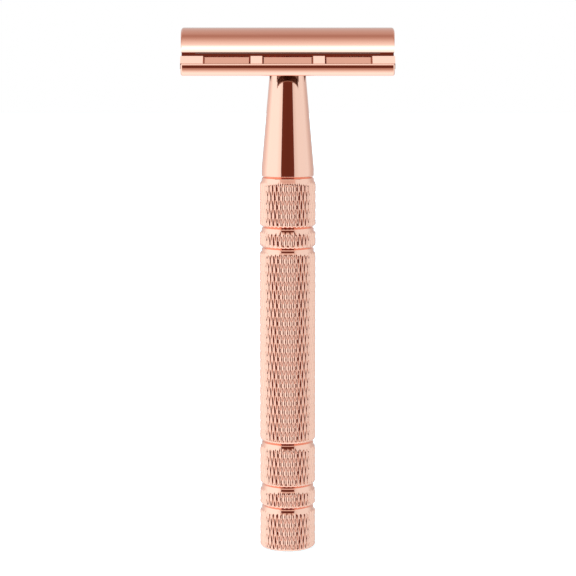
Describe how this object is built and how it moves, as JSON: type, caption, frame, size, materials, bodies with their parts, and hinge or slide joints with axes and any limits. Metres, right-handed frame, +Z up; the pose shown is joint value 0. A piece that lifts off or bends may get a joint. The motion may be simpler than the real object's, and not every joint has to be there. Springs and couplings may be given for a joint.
{
  "type": "safety razor",
  "caption": "Double-edge safety razor with a domed cap, slotted guard plate, polished tapering neck and long diamond-knurled handle that unscrews from the head.",
  "frame": {"origin": "middle of the handle's bottom end, on the surface it stands on", "axes": "+Z up the handle to the head, X along the blade, Y across the blade from edge to edge"},
  "size_m": [0.0438, 0.0258, 0.1098],
  "materials": {
    "polished_rose_gold": "brass, rose-gold plated and mirror polished",
    "knurled_rose_gold": "brass, diamond knurled, rose-gold plated, bright",
    "blade_steel": "hardened stainless strip with ground edges",
    "stud_steel": "turned stainless steel"
  },
  "bodies": {
    "handle": {"grip": "knurled_rose_gold", "neck": "polished_rose_gold", "tie_rod": "stud_steel", "end_plug": "polished_rose_gold"},
    "plate": {"base_plate": "polished_rose_gold"},
    "blade": {"blade": "blade_steel"},
    "cap": {"cap": "polished_rose_gold", "cap_stud": "stud_steel", "locating_pin_left": "stud_steel", "locating_pin_right": "stud_steel"}
  },
  "joints": [
    {"name": "head_unscrew", "type": "hinge", "parent": "handle", "child": "plate", "pos_m": [0, 0, 0.101], "axis": [0, 0, 1], "range_deg": [0, 3960]},
    {"name": "cap_rise", "type": "slide", "parent": "plate", "child": "cap", "axis": [0, 0, 1], "range_m": [0, 0.0088]},
    {"name": "blade_lift", "type": "slide", "parent": "plate", "child": "blade", "axis": [0, 0, 1], "range_m": [0, 0.0044]}
  ],
  "couplings": [
    {"joint": "cap_rise", "follows": "head_unscrew", "m_per_rad": 0.00012732},
    {"joint": "blade_lift", "follows": "head_unscrew", "m_per_rad": 0.00006366}
  ]
}
